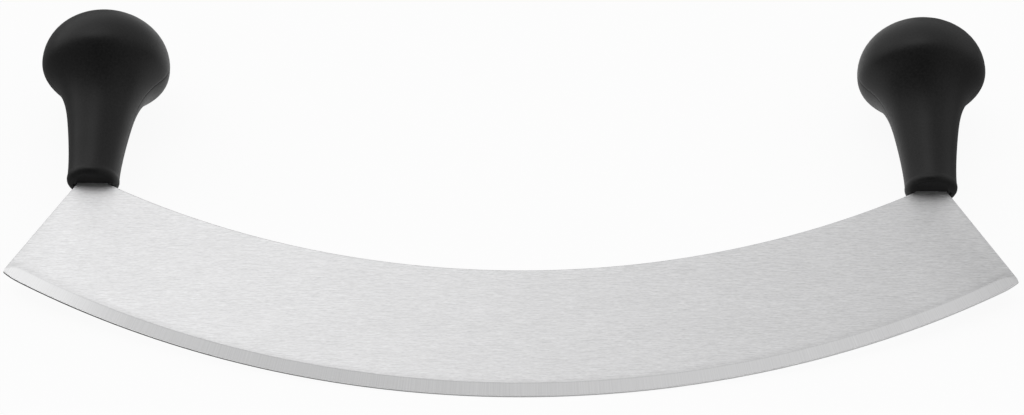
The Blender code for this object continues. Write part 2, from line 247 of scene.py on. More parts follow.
class BladeSizes(PropertyGroup):
    """What is added to the blade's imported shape."""

    edge_radius: length("Edge radius", "Radius of the cutting edge's arc", 410.6154 * MM)
    edge_drop: length("Edge drop", "How far the belly lies below the knobs' feet", 93.4 * MM)
    grind_width: length("Grind width", "Widest place of the ground bevel", 6.0 * MM)
    honed_thickness: length("Honed thickness", "Thickness where the honed strip begins", 0.46 * MM)
    grind_lean: angle("Grind lean", "Lean of the ground bevel against the blade's face", 8.45)
    tip_lean: angle("Left tip lean", "Lean of the ground bevel where it runs out at the left tip", 1)
    uneven_lean: angle("Uneven lean", "How much steeper the left and flatter the right half is ground", 1.3)
    spine_end: length("Spine end", "How far from the middle the curved spine reaches", 161 * MM)
    spine_drop: length("Spine drop", "Deeper than the spine's lowest place, below the feet", 45 * MM)
    deburr: length("Deburring", "Bevel along the spine", 0.25 * MM)
    end_deburr: length("End deburring", "Bevel along the slanting ends", 0.45 * MM)
    end_top: length("End top", "From the middle to where a slanting end starts", 174.5 * MM)
    end_run: length("End run", "How far it runs outwards", 25.5 * MM)
    end_rise: length("End rise", "How far it runs down", 41.4 * MM)
    # Painted shade: the face's colour darkens in a strip along the grind's boundary
    grind_shade_width: length("Burr width", "Width of the dull strip on the face, along the grind", 2.2 * MM)
    painted_grind_shade: share("Burr shade", "Brightness of that strip", 0.93)
    # Painted shade: the face's colour darkens in a strip along the slanting ends
    painted_end_shade_width: length("Sheared width", "Width of the duller strip on the face, along the ends", 2.2 * MM)
    painted_end_shade: share("Sheared shade", "Brightness of that strip", 0.93)
    grain_length: length("Grain length", "Length of a usual line of the brushed grain", 3.6 * MM)
    grain_width: length("Grain width", "Width of a line of the brushed grain", 0.26 * MM)
    # Painted light on the ground bevel: a painted highlight at the left tip, painted shade at the right
    left_tip_painted_light: level("Left tip shade", "Brightness of the ground bevel at the left tip", 1.15)
    right_tip_painted_shade: level("Right tip shade", "Brightness of the ground bevel at the right tip", 0.92)
    line_spacing: length("Line spacing", "Distance between the lines of the ground bevel", 0.4 * MM)


class Finishes(PropertyGroup):
    """Colours and roughness of the knife's materials."""

    steel: colour("Steel", "Colour of the brushed faces", (0.74, 0.74, 0.745))
    steel_roughness: share("Steel roughness", "Roughness of the brushed faces", 0.41)
    brushing: share("Brushing", "How much smoother the steel shines along its grain than across it", 0.77)
    ground: colour("Ground steel", "Colour of the ground bevel", (0.703, 0.703, 0.707))
    ground_roughness: share("Ground roughness", "Roughness of the ground bevel", 0.53)
    # The honed edge's steel colour, raised near white as a painted highlight
    honed: colour("Honed steel", "Colour of the honed edge", (0.98, 0.98, 0.985))
    honed_roughness: share("Honed roughness", "Roughness of the honed edge", 0.5)
    # Painted shade on the edge's last hair's breadth, darkest at the left tip
    painted_edge_shade_left: share("Keen left", "Brightness of the edge's last hair's breadth at the left tip", 0.02)
    painted_edge_shade_right: share("Keen right", "The same at the right tip", 0.75)
    cut: colour("Cut steel", "Colour of the spine and the ends", (0.45, 0.45, 0.46))
    cut_roughness: share("Cut roughness", "Roughness of the spine and the ends", 0.45)
    plastic: colour("Plastic", "Colour of the knobs", (0.0068, 0.0068, 0.0069))
    plastic_roughness: share("Plastic roughness", "Roughness of the knobs", 0.45)
    plastic_gloss: share("Plastic gloss", "Specular level of the knobs", 0.286)
    dowel: colour("Dowel steel", "Colour of the dowels", (0.55, 0.55, 0.56))
    dowel_roughness: share("Dowel roughness", "Roughness of the dowels", 0.3)


class StudioSettings(PropertyGroup):
    """Camera, floor and light."""

    lens: FloatProperty(
        name="Lens",
        description="Focal length",
        default=90.33,
        subtype="DISTANCE_CAMERA",
        unit="CAMERA",
    )
    distance: length("Distance", "From the camera to the middle between the knobs' feet", 1.0305)
    pitch: angle("Pitch", "How far the camera stands below the line square to the blade's face", 31.781)
    yaw: angle("Yaw", "Turn of the camera about the knobs' direction", 0.496)
    roll: angle("Roll", "Turn of the camera about its line of sight", 0.828)
    shift_x: number("Shift X", "Sideways shift of the picture", 0.00046)
    shift_y: number("Shift Y", "Upward shift of the picture", -0.01773)
    floor: colour("Floor", "Colour of the floor", (0.95, 0.95, 0.95))
    floor_glow: share("Floor glow", "Share of plain white in what camera and gloss see of the floor", 0.93)
    lit_half: length("Lit half width", "Half width of the floor that lights the knobs from below", 0.136)
    lit_fade: length("Lit fade", "Width over which that light fades towards the sides", 0.050)
    side_glow: share("Side glow", "What is left of it beside the knife", 0.241)
    back_left: level("Back left", "Light from behind on the left", 1.15)
    back_right: level("Back right", "Light from behind on the right", 0.75)
    room_turn: angle("Room turn", "Height above the horizon behind where the room turns dimmer", 91.0)
    front_left: level("Front left", "Light from the front on the left", 0.33)
    front: level("Front", "Light from the front", 0.14)
    front_right: level("Front right", "Light from the front on the right", 0.53)
    softbox: level("Softbox", "Extra light of the soft box behind", 1.27)
    softbox_tilt: angle("Softbox tilt", "Height of the soft box above the horizon behind", 78.2)
    softbox_reach: angle("Softbox reach", "From its middle to where it starts to fade, up and down", 7.8)
    softbox_fade: angle("Softbox fade", "Width over which it fades, up and down", 10.4)
    softbox_side: number("Softbox side", "Its place from left, -1, to right, 1", -0.190)
    softbox_half: number("Softbox half width", "From its middle to the fade", 0.079)
    softbox_edge: number("Softbox edge", "Width of the fade at its sides", 0.399)


def knob_stretches(sizes):
    """The knob's outline from the foot's rim up to the crown: four Bezier stretches of (radius, height)."""
    flared = sizes.foot_radius + sizes.foot_flare
    crown_height = sizes.height - sizes.head_height
    shoulder_height = sizes.head_height - sizes.waist_height
    neck_height = sizes.waist_height - sizes.foot_flare_height
    flare_middle = (sizes.foot_flare_height + sizes.foot_round) / 2
    rise = SHOULDER_FULLNESS[1] * shoulder_height
    fall = NECK_FULLNESS[0] * neck_height
    foot = [(flared, sizes.foot_round), (flared, flare_middle), (sizes.foot_radius, flare_middle)]
    neck = [
        (sizes.foot_radius, sizes.foot_flare_height),
        (sizes.foot_radius, sizes.foot_flare_height + NECK_FULLNESS[1] * neck_height),
        (sizes.waist_radius - WAIST_SLOPE * fall, sizes.waist_height - fall),
    ]
    shoulder = [
        (sizes.waist_radius, sizes.waist_height),
        (sizes.waist_radius + WAIST_SLOPE * rise, sizes.waist_height + rise),
        (sizes.head_radius, sizes.head_height - SHOULDER_FULLNESS[0] * shoulder_height),
    ]
    crown = [
        (sizes.head_radius, sizes.head_height),
        (sizes.head_radius, sizes.head_height + CROWN_FULLNESS[1] * crown_height),
        (CROWN_FULLNESS[0] * sizes.head_radius, sizes.height),
        (0.0, sizes.height),
    ]
    return foot + neck[:1], neck + shoulder[:1], shoulder + crown[:1], crown


def foot_rounding(sizes):
    """Points round the foot's lower rim, from below to its side."""
    centre = Vector((sizes.foot_radius + sizes.foot_flare - sizes.foot_round, sizes.foot_round))
    turns = [math.pi / 2 * i / ROUND_STEPS for i in range(ROUND_STEPS + 1)]
    return [centre + sizes.foot_round * Vector((math.sin(turn), -math.cos(turn))) for turn in turns]


def knob_line(sizes, inset=0.0):
    """Points of the knob's outline from the foot's middle up to the crown, moved inwards by inset."""
    hollow = inset > 0
    points = [Vector((0, inset))]
    if not hollow:
        points += foot_rounding(sizes)
    lowest = inset + HOLLOW_MARGIN if hollow else inset
    for curve, steps in zip(knob_stretches(sizes), OUTLINE_STEPS):
        a, b, c, d = (Vector(point) for point in curve)
        for i in range(steps + 1):
            t = i / steps
            s = 1 - t
            place = s**3 * a + 3 * s * s * t * b + 3 * s * t * t * c + t**3 * d
            direction = (s * s * (b - a) + 2 * s * t * (c - b) + t * t * (d - c)).normalized()
            place += inset * Vector((-direction.y, direction.x))
            if place.y > lowest and (place - points[-1]).length > 2 * MERGE:
                points.append(place)
    if hollow:
        points.insert(1, Vector((points[1].x, inset)))
    points[-1].x = 0
    return points


def only(obj):
    """Make one object the selected and active one."""
    bpy.ops.object.select_all(action="DESELECT")
    obj.select_set(True)
    bpy.context.view_layer.objects.active = obj


def begin_piece():
    """Nothing stays selected from the steps before."""
    if bpy.context.mode != "OBJECT":
        bpy.ops.object.mode_set(mode="OBJECT")
    bpy.ops.object.select_all(action="DESELECT")


def lathe(name, line, steps):
    """A closed solid turned about Z from a line that starts and ends on the axis."""
    begin_piece()
    bpy.ops.mesh.primitive_plane_add(size=MM)
    obj = bpy.context.active_object
    obj.name = name
    bpy.ops.object.mode_set(mode="EDIT")
    bpy.ops.mesh.merge(type="CENTER")
    bpy.ops.transform.translate(value=(line[0].x, 0, line[0].y))
    for before, after in zip(line, line[1:]):
        step = after - before
        bpy.ops.mesh.extrude_region_move(TRANSFORM_OT_translate={"value": (step.x, 0, step.y)})
    bpy.ops.mesh.select_all(action="SELECT")
    bpy.ops.mesh.spin(steps=steps, angle=math.tau, center=(0, 0, 0), axis=(0, 0, 1))
    bpy.ops.mesh.select_all(action="SELECT")
    bpy.ops.mesh.remove_doubles(threshold=2 * MERGE)
    bpy.ops.mesh.normals_make_consistent(inside=False)
    bpy.ops.object.mode_set(mode="OBJECT")
    return obj


def block(name, low, high):
    """A cutting block between two opposite corners."""
    begin_piece()
    low, high = Vector(low), Vector(high)
    bpy.ops.mesh.primitive_cube_add(size=1, location=(low + high) / 2, scale=high - low)
    bpy.context.active_object.name = name
    return bpy.context.active_object


def carve(target, tool, operation="DIFFERENCE"):
    """Apply a Boolean with a tool, which is used up."""
    only(target)
    modifier = target.modifiers.new("Carve", "BOOLEAN")
    modifier.operation = operation
    modifier.object = tool
    modifier.solver = "EXACT"
    bpy.ops.object.modifier_apply(modifier=modifier.name)
    bpy.data.objects.remove(tool)


def mouth_block(sizes, side):
    """The recess round the blade in the foot's end, wide at the blade and narrower away from it."""
    half = sizes.mouth_width / 2
    tool = block(
        "mouth",
        (-half, min(0, -side * sizes.mouth_reach), -sizes.mouth_depth),
        (half, max(0, -side * sizes.mouth_reach), sizes.mouth_depth),
    )
    bpy.ops.object.mode_set(mode="EDIT")
    bpy.ops.mesh.select_all(action="DESELECT")
    shape = bmesh.from_edit_mesh(tool.data)
    for vertex in shape.verts:
        world = tool.matrix_world @ vertex.co
        vertex.select = abs(world.y) > sizes.mouth_reach / 2
    shape.select_flush(True)
    bmesh.update_edit_mesh(tool.data)
    narrow = (half - sizes.mouth_taper) / half
    bpy.ops.transform.resize(value=(narrow, 1, 1), center_override=(0, 0, 0))
    bpy.ops.object.mode_set(mode="OBJECT")
    return tool


def bevel_edges(obj, test, offset, clamp=True):
    """Bevel the edges that the test picks. The clamp holds every bevel back by the mesh's shortest edge."""
    only(obj)
    bpy.ops.object.mode_set(mode="EDIT")
    bpy.ops.mesh.select_mode(type="EDGE")
    bpy.ops.mesh.select_all(action="DESELECT")
    shape = bmesh.from_edit_mesh(obj.data)
    for edge in shape.edges:
        edge.select = test(edge)
    bmesh.update_edit_mesh(obj.data)
    bpy.ops.mesh.bevel(offset=offset, segments=BEVEL_SEGMENTS, profile=0.5, clamp_overlap=clamp)
    bpy.ops.mesh.select_mode(type="VERT")
    bpy.ops.object.mode_set(mode="OBJECT")


def sweep_slivers(obj):
    """Close up the slivers that cutting and bevelling leave at sharp corners."""
    only(obj)
    bpy.ops.object.mode_set(mode="EDIT")
    bpy.ops.mesh.select_all(action="SELECT")
    bpy.ops.mesh.remove_doubles(threshold=SLIVER)
    bpy.ops.mesh.dissolve_degenerate(threshold=SLIVER)
    bpy.ops.object.mode_set(mode="OBJECT")


def make_shell(name, sizes, side, seam_gap, seam_round):
    """Half of a hollow knob upright on its foot. The front half, side 1, lies towards -Y."""
    outline = knob_line(sizes)
    shell = lathe(name, outline, OUTER_STEPS)
    carve(shell, lathe("hollow", knob_line(sizes, sizes.wall), INNER_STEPS))
    gap = seam_gap / 2
    clear = 2 * sizes.height
    near, far = sorted((-side * gap, -side * clear))
    carve(shell, block("half", (-clear, near, -clear), (clear, far, clear)), "INTERSECT")
    slot = sizes.slot_width / 2
    slot_low = (-slot, -sizes.slot_half, -clear)
    slot_high = (slot, sizes.slot_half, sizes.slot_depth)
    carve(shell, block("slot", slot_low, slot_high))
    carve(shell, mouth_block(sizes, side))

    def is_outer(middle):
        nearest = min((Vector((abs(middle.x), middle.z)) - point).length for point in outline)
        return nearest < sizes.wall / 2

    def on_seam(edge):
        middle = (edge.verts[0].co + edge.verts[1].co) / 2
        flat = all(abs(vertex.co.y + side * gap) < 2 * MERGE for vertex in edge.verts)
        beside_slot = abs(middle.x) > slot
        outside = any(abs(face.normal.y) < SEAM_COSINE for face in edge.link_faces)
        sharp = abs(edge.calc_face_angle(0)) > SEAM_ANGLE
        return flat and beside_slot and outside and sharp and is_outer(middle)

    bevel_edges(shell, on_seam, seam_round)
    sweep_slivers(shell)
    return shell


def place_in_world(obj, place):
    """Put a piece that was modelled upright into the knife, with its place in its mesh."""
    upright = Matrix.Rotation(-math.pi / 2, 4, "X")
    obj.data.transform(KNIFE_TO_WORLD @ Matrix.Translation(place) @ upright @ obj.matrix_world)
    obj.matrix_world = Matrix.Identity(4)


def smooth(obj, crease):
    """Shade smoothly, apart from edges sharper than the angle."""
    only(obj)
    bpy.ops.object.shade_smooth_by_angle(angle=crease)


def edge_centre_height(sizes):
    """Height of the centre of the cutting edge's arc over the knobs' feet."""
    return sizes.edge_radius - sizes.edge_drop


def half_length(sizes):
    """From the blade's middle to a tip."""
    return sizes.end_top + sizes.end_run


def feed(links, term, socket):
    """Give a socket a link or a plain value."""
    if isinstance(term, bpy.types.NodeSocket):
        links.new(term, socket)
    else:
        socket.default_value = term


def calculate(nodes, links, operation, *terms):
    """A Math node on values and plain numbers."""
    node = nodes.new("ShaderNodeMath")
    node.operation = operation
    for socket, term in zip(node.inputs, terms):
        feed(links, term, socket)
    return node.outputs["Value"]


def multiply(nodes, links, product, *factors):
    """The product of two or more values."""
    for factor in factors:
        product = calculate(nodes, links, "MULTIPLY", product, factor)
    return product


def distance(nodes, links, value, place):
    """How far a value is from a place."""
    return calculate(nodes, links, "ABSOLUTE", calculate(nodes, links, "SUBTRACT", value, place))


def fade(nodes, links, value, low, high, at_low, at_high):
    """Glide smoothly from one value to another."""
    node = nodes.new("ShaderNodeMapRange")
    node.interpolation_type = "SMOOTHSTEP"
    terms = {"Value": value, "From Min": low, "From Max": high, "To Min": at_low, "To Max": at_high}
    for name, term in terms.items():
        feed(links, term, node.inputs[name])
    return node.outputs["Result"]


def split_vector(nodes, links, vector):
    """The three parts of a vector."""
    node = nodes.new("ShaderNodeSeparateXYZ")
    links.new(vector, node.inputs["Vector"])
    return node.outputs["X"], node.outputs["Y"], node.outputs["Z"]


def join_vector(nodes, links, x, y):
    """A vector from its first two parts."""
    node = nodes.new("ShaderNodeCombineXYZ")
    links.new(x, node.inputs["X"])
    links.new(y, node.inputs["Y"])
    return node.outputs["Vector"]


def new_material(name):
    """A material with its Principled shader, its nodes and links."""
    material = bpy.data.materials.new(name)
    material.use_nodes = True
    tree = material.node_tree
    return material, tree.nodes, tree.links, tree.nodes["Principled BSDF"]


def object_coordinates(nodes):
    """The place on the piece, in metres."""
    return nodes.new("ShaderNodeTexCoord").outputs["Object"]


def blade_plane_coordinates(nodes, links, origin=(0, 0, 0)):
    """Object coordinates turned into the blade's plane and counted from a point of the knife frame."""
    turned = nodes.new("ShaderNodeMapping")
    turned.vector_type = "TEXTURE"
    turned.inputs["Location"].default_value = KNIFE_TO_WORLD @ Vector(origin)
    turned.inputs["Rotation"].default_value = (KNIFE_TILT, 0, 0)
    links.new(object_coordinates(nodes), turned.inputs["Vector"])
    return turned.outputs["Vector"]


def stretch(nodes, links, vector, scale):
    """Coordinates scaled along each axis."""
    node = nodes.new("ShaderNodeMapping")
    node.inputs["Scale"].default_value = scale
    links.new(vector, node.inputs["Vector"])
    return node.outputs["Vector"]


def noise(nodes, links, vector, scale, detail, roughness=0.5):
    """Noise at a place, about 0.5 in the middle."""
    texture = nodes.new("ShaderNodeTexNoise")
    texture.inputs["Scale"].default_value = scale
    texture.inputs["Detail"].default_value = detail
    texture.inputs["Roughness"].default_value = roughness
    links.new(vector, texture.inputs["Vector"])
    return texture.outputs["Fac"]


def vary(nodes, links, value, middle, spread):
    """Let noise vary a number by a spread, up and down from its middle."""
    node = nodes.new("ShaderNodeMapRange")
    node.inputs["From Min"].default_value = NOISE_LOW
    node.inputs["From Max"].default_value = NOISE_HIGH
    node.inputs["To Min"].default_value = middle - spread
    node.inputs["To Max"].default_value = middle + spread
    node.clamp = False
    links.new(value, node.inputs["Value"])
    return node.outputs["Result"]


def tint(nodes, links, shader, base, value):
    """Make the shader's colour a colour times a value."""
    node = nodes.new("ShaderNodeMix")
    node.data_type = "RGBA"
    node.blend_type = "MULTIPLY"
    node.inputs["Factor"].default_value = 1
    node.inputs["A"].default_value = (*base, 1)
    links.new(value, node.inputs["B"])
    links.new(node.outputs["Result"], shader.inputs["Base Color"])


def bump(nodes, links, shader, height, strength, depth):
    """Let a value show as fine relief of a depth."""
    node = nodes.new("ShaderNodeBump")
    node.inputs["Strength"].default_value = strength
    node.inputs["Distance"].default_value = depth
    links.new(height, node.inputs["Height"])
    links.new(node.outputs["Normal"], shader.inputs["Normal"])


def stretch_shine(nodes, links, shader, amount, turn):
    """Spread the shine along the piece's U direction, or across it with a turn of a quarter."""
    tangent = nodes.new("ShaderNodeTangent")
    tangent.direction_type = "UV_MAP"
    links.new(tangent.outputs["Tangent"], shader.inputs["Tangent"])
    shader.inputs["Anisotropic"].default_value = amount
    shader.inputs["Anisotropic Rotation"].default_value = turn


def grain_lines(nodes, links, sizes):
    """Noise in fine lines of several lengths along the blade."""
    fine = 0
    for longer, start in GRAIN_LINES:
        scale = (1 / (longer * sizes.grain_length), 1 / sizes.grain_width, 1 / sizes.grain_width)
        place = stretch(nodes, links, blade_plane_coordinates(nodes, links, (start, 0, 0)), scale)
        lines = noise(nodes, links, place, 1, 1)
        fine = calculate(nodes, links, "MULTIPLY_ADD", lines, 1 / len(GRAIN_LINES), fine)
    return fine


def painted_shade_along_ends(nodes, links, x, y, sizes):
    """Painted shade in a strip along the slanting ends."""
    out = Vector((sizes.end_rise, sizes.end_run)).normalized()
    beyond = multiply(nodes, links, calculate(nodes, links, "ABSOLUTE", x), out.x)
    beyond = calculate(nodes, links, "MULTIPLY_ADD", y, out.y, beyond)
    line = out.x * sizes.end_top
    return fade(nodes, links, beyond, line - sizes.painted_end_shade_width, line, 1, sizes.painted_end_shade)


def painted_shade_along_grind(nodes, links, x, y, sizes):
    """Painted shade in a strip of the face along the grind."""
    upwards = calculate(nodes, links, "SUBTRACT", y, edge_centre_height(sizes))
    from_centre = nodes.new("ShaderNodeVectorMath")
    from_centre.operation = "LENGTH"
    links.new(join_vector(nodes, links, x, upwards), from_centre.inputs[0])
    line = sizes.edge_radius - sizes.grind_width
    radius = from_centre.outputs["Value"]
    return fade(nodes, links, radius, line - sizes.grind_shade_width, line, 1, sizes.painted_grind_shade)


def brushed_steel(name, base, roughness, brushing, sizes):
    """Steel brushed along the blade, with painted shade in soft strips along the sheared ends and the grind.
    """
    material, nodes, links, shader = new_material(name)
    shader.inputs["Metallic"].default_value = 1
    stretch_shine(nodes, links, shader, brushing, 0.25)
    fine = grain_lines(nodes, links, sizes)
    patch_place = stretch(nodes, links, blade_plane_coordinates(nodes, links), PATCH_STRETCH)
    patches = noise(nodes, links, patch_place, 1, 2)
    x, y, _ = split_vector(nodes, links, blade_plane_coordinates(nodes, links))
    shade = multiply(
        nodes,
        links,
        vary(nodes, links, fine, 1, GRAIN_SHADE),
        vary(nodes, links, patches, 1, PATCH_SHADE),
        # Painted shade along the slanting ends
        painted_shade_along_ends(nodes, links, x, y, sizes),
        # Painted shade along the grind
        painted_shade_along_grind(nodes, links, x, y, sizes),
    )
    tint(nodes, links, shader, base, shade)
    links.new(vary(nodes, links, fine, roughness, GRAIN_ROUGHNESS), shader.inputs["Roughness"])
    bump(nodes, links, shader, fine, GRAIN_RELIEF, LINE_DEPTH)
    return material


def ground_steel(name, base, roughness, brushing, sizes):
    """Steel ground across the edge: fine lines run towards the centre of the edge's arc."""
    material, nodes, links, shader = new_material(name)
    shader.inputs["Metallic"].default_value = 1
    stretch_shine(nodes, links, shader, brushing, 0)
    centre = (0, edge_centre_height(sizes), 0)
    x, y, z = split_vector(nodes, links, blade_plane_coordinates(nodes, links, centre))
    down = multiply(nodes, links, y, -1)
    along = multiply(nodes, links, calculate(nodes, links, "ARCTAN2", x, down), sizes.edge_radius)
    lines = []
    for spacing, drift, detail in ((sizes.line_spacing, LINE_DRIFT, 2), (SLOW_SPACING, SLOW_DRIFT, 1)):
        across = multiply(nodes, links, along, 1 / spacing)
        place = join_vector(nodes, links, across, multiply(nodes, links, down, drift))
        lines.append(noise(nodes, links, place, 1, detail))
    fine, slow = lines
    depth = calculate(nodes, links, "ABSOLUTE", z)
    half = half_length(sizes)
    shade = multiply(
        nodes,
        links,
        vary(nodes, links, fine, 1, GROUND_SHADE),
        vary(nodes, links, slow, 1, SLOW_SHADE),
        # Painted shade: a dark line where the bevel begins
        fade(nodes, links, depth, *BEGIN_DEPTHS, 1, BEGIN_PAINTED_SHADE),
        # Painted highlight towards the left tip and painted shade towards the right
        fade(nodes, links, x, -half, LEFT_TIP_START * half, sizes.left_tip_painted_light, 1),
        fade(nodes, links, x, RIGHT_TIP_START * half, half, 1, sizes.right_tip_painted_shade),
    )
    tint(nodes, links, shader, base, shade)
    links.new(vary(nodes, links, fine, roughness, GROUND_ROUGHNESS), shader.inputs["Roughness"])
    bump(nodes, links, shader, fine, GROUND_RELIEF, LINE_DEPTH)
    return material


def painted_edge_shade(nodes, links, half, left, right):
    """Painted shade on the last hair's breadth of the edge, from one value at the left to another."""
    x, _, z = split_vector(nodes, links, blade_plane_coordinates(nodes, links))
    last = fade(nodes, links, x, -half, half / 2, left, right)
    return fade(nodes, links, calculate(nodes, links, "ABSOLUTE", z), *EDGE_SHADE_DEPTHS, last, 1)


def plain_steel(name, base, roughness, spot, edge_shade=None):
    """Steel with a fine even grain. An edge with painted shade has its half length and its end's painted
    shades left and right.
    """
    material, nodes, links, shader = new_material(name)
    shader.inputs["Metallic"].default_value = 1
    fine = noise(nodes, links, object_coordinates(nodes), 1 / spot, 2)
    shade = vary(nodes, links, fine, 1, SPOT_SHADE)
    if edge_shade is not None:
        shade = multiply(nodes, links, shade, painted_edge_shade(nodes, links, *edge_shade))
    tint(nodes, links, shader, base, shade)
    links.new(vary(nodes, links, fine, roughness, SPOT_ROUGHNESS), shader.inputs["Roughness"])
    return material


def moulded_plastic(name, base, roughness, gloss):
    """Black plastic from a finely eroded mould."""
    material, nodes, links, shader = new_material(name)
    shader.inputs["Specular IOR Level"].default_value = gloss
    place = object_coordinates(nodes)
    pits = noise(nodes, links, place, 1 / PIT_SIZE, 3, 0.6)
    wear = noise(nodes, links, place, 1 / WEAR_SIZE, 3)
    tint(nodes, links, shader, base, vary(nodes, links, pits, 1, PIT_SHADE))
    worn = vary(nodes, links, wear, 0, WEAR_ROUGHNESS)
    pitted = vary(nodes, links, pits, 0, PIT_ROUGHNESS)
    rough = calculate(nodes, links, "ADD", calculate(nodes, links, "ADD", worn, pitted), roughness)
    links.new(rough, shader.inputs["Roughness"])
    bump(nodes, links, shader, pits, PIT_RELIEF, PIT_DEPTH)
    return material


def wear_material(obj, *materials):
    """Replace an object's materials."""
    obj.data.materials.clear()
    for material in materials:
        obj.data.materials.append(material)


class KNIFE_OT_dress_blade(Operator):
    """Deburr a copy of the blade and give its faces, grind and edge their finishes"""

    bl_idname = "pizza_knife.dress_blade"
    bl_label = "Dress the blade"

    def execute(self, context):
        sizes = context.scene.blade_sizes
        looks = context.scene.knife_finishes
        blade = self.copy_blade(context.scene.collection)
        self.deburr(blade, sizes)
        wear_material(blade, *self.make_steels(sizes, looks))
        self.pick_steels(blade, sizes)
        only(blade)
        bpy.ops.object.mode_set(mode="EDIT")
        bpy.ops.mesh.select_all(action="SELECT")
        bpy.ops.uv.cube_project(cube_size=1)
        bpy.ops.object.mode_set(mode="OBJECT")
        smooth(blade, BLADE_CREASE)
        self.even_grind(blade, sizes)
        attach(blade, "root")
        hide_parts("blade")
        return {"FINISHED"}

    @staticmethod
    def copy_blade(collection):
        """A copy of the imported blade, with its flat faces whole again."""
        begin_piece()
        blade = bpy.data.objects.new("dressed_blade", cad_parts["blade"].data.copy())
        collection.objects.link(blade)
        only(blade)
        bpy.ops.object.mode_set(mode="EDIT")
        bpy.ops.mesh.select_all(action="SELECT")
        bpy.ops.mesh.remove_doubles(threshold=MERGE)
        bpy.ops.mesh.dissolve_limited(angle_limit=FLAT_ANGLE)
        bpy.ops.object.mode_set(mode="OBJECT")
        return blade

    @staticmethod
    def deburr(blade, sizes):
        """Bevel the outline's sharp edges along the slanting ends and the spine."""

        def is_high(vertex):
            return abs((WORLD_TO_KNIFE @ vertex.co).z) > sizes.honed_thickness

        def is_outline(edge):
            if len(edge.link_faces) != 2:
                return False
            square, flat = sorted(abs(face.normal.dot(FRONT_NORMAL)) for face in edge.link_faces)
            at_corner = square < SQUARE_COSINE and flat > FLAT_COSINE
            return at_corner and all(is_high(vertex) for vertex in edge.verts)

        def is_end(edge):
            run = (WORLD_TO_KNIFE @ edge.verts[0].co) - (WORLD_TO_KNIFE @ edge.verts[1].co)
            return is_outline(edge) and abs(run.y) > END_SLOPE * abs(run.x)

        def is_spine(edge):
            places = [WORLD_TO_KNIFE @ vertex.co for vertex in edge.verts]
            between_knobs = max(abs(place.x) for place in places) < sizes.spine_end
            above_edge = min(place.y for place in places) > -sizes.spine_drop
            return is_outline(edge) and between_knobs and above_edge

        bevel_edges(blade, is_end, sizes.end_deburr)
        bevel_edges(blade, is_spine, sizes.deburr, clamp=False)
        sweep_slivers(blade)

    @staticmethod
    def make_steels(sizes, looks):
        """The blade's materials, in the order of its slots."""
        # The painted shade on the honed edge's last hair's breadth
        edge_shade = (half_length(sizes), looks.painted_edge_shade_left, looks.painted_edge_shade_right)
        return (
            brushed_steel("brushed_steel", looks.steel, looks.steel_roughness, looks.brushing, sizes),
            ground_steel("ground_bevel", looks.ground, looks.ground_roughness, looks.brushing, sizes),
            plain_steel("honed_edge", looks.honed, looks.honed_roughness, HONED_SPOT, edge_shade),
            plain_steel("cut_edges", looks.cut, looks.cut_roughness, CUT_SPOT),
        )

    @staticmethod
    def pick_steels(blade, sizes):
        """Tell the faces apart by how they lean, how thick the blade is there and how near the edge."""
        centre = Vector((0, edge_centre_height(sizes)))
        for face in blade.data.polygons:
            cosine = abs(face.normal.dot(FRONT_NORMAL))
            places = [WORLD_TO_KNIFE @ blade.data.vertices[index].co for index in face.vertices]
            thickness = 2 * max(abs(place.z) for place in places)
            to_edge = sizes.edge_radius - min((place.xy - centre).length for place in places)
            if cosine > FLAT_COSINE:
                face.material_index = BRUSHED
            elif thickness < sizes.honed_thickness:
                face.material_index = HONED
            elif cosine > GROUND_COSINE and to_edge < sizes.grind_width:
                face.material_index = GROUND
            else:
                face.material_index = CUT

    @staticmethod
    def even_grind(blade, sizes):
        """Shade the ground bevel as one cone round the edge's centre, a little unevenly ground."""
        centre = Vector((0, edge_centre_height(sizes)))
        turn = KNIFE_TO_WORLD.to_3x3()
        normals = [corner.vector.copy() for corner in blade.data.corner_normals]
        for face in blade.data.polygons:
            if face.material_index != GROUND:
                continue
            front = math.copysign(1, face.normal.dot(FRONT_NORMAL))
            for corner, index in zip(face.loop_indices, face.vertices):
                place = (WORLD_TO_KNIFE @ blade.data.vertices[index].co).xy
                away = (place - centre).normalized()
                along = place.x / half_length(sizes)
                near_tip = min(1, max(0, 1 - TIP_LEAN_RATE * (1 + along)))
                near_tip = near_tip**2 * (3 - 2 * near_tip)
                lean = sizes.grind_lean - sizes.uneven_lean * math.sin(math.pi * along)
                lean += (sizes.tip_lean - lean) * near_tip
                outwards = math.sin(lean) * away
                normals[corner] = turn @ Vector((outwards.x, outwards.y, front * math.cos(lean)))
        blade.data.normals_split_custom_set(normals)


class KNIFE_OT_turn_knobs(Operator):
    """Turn the knobs' shells, split them at the seam and cut their feet for the blade"""

    bl_idname = "pizza_knife.turn_knobs"
    bl_label = "Turn the knobs"

    def execute(self, context):
        sizes = context.scene.knob_sizes
        looks = context.scene.knife_finishes
        plastic = moulded_plastic(
            "black_plastic", looks.plastic, looks.plastic_roughness, looks.plastic_gloss
        )
        seams = {
            "left": (-sizes.spacing / 2, sizes.seam_gap, sizes.seam_round),
            "right": (sizes.spacing / 2, sizes.tight_gap, sizes.tight_round),
        }
        for face, side in (("front", 1), ("back", -1)):
            for hand, (place_x, gap, rounding) in seams.items():
                shell = make_shell(f"{hand}_knob_{face}", sizes, side, gap, rounding)
                place_in_world(shell, (place_x, 0, 0))
                wear_material(shell, plastic)
                smooth(shell, KNOB_CREASE)
                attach(shell, "root")
                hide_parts(f"{hand}_handle_{face}_shell")
        return {"FINISHED"}


class KNIFE_OT_finish_dowels(Operator):
    """Give the dowels inside the knobs their steel"""

    bl_idname = "pizza_knife.finish_dowels"
    bl_label = "Finish the dowels"

    def execute(self, context):
        looks = context.scene.knife_finishes
        steel = plain_steel("dowel_steel", looks.dowel, looks.dowel_roughness, DOWEL_SPOT)
        for name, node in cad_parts.items():
            if name.endswith("_dowel"):
                wear_material(node, steel)
        return {"FINISHED"}


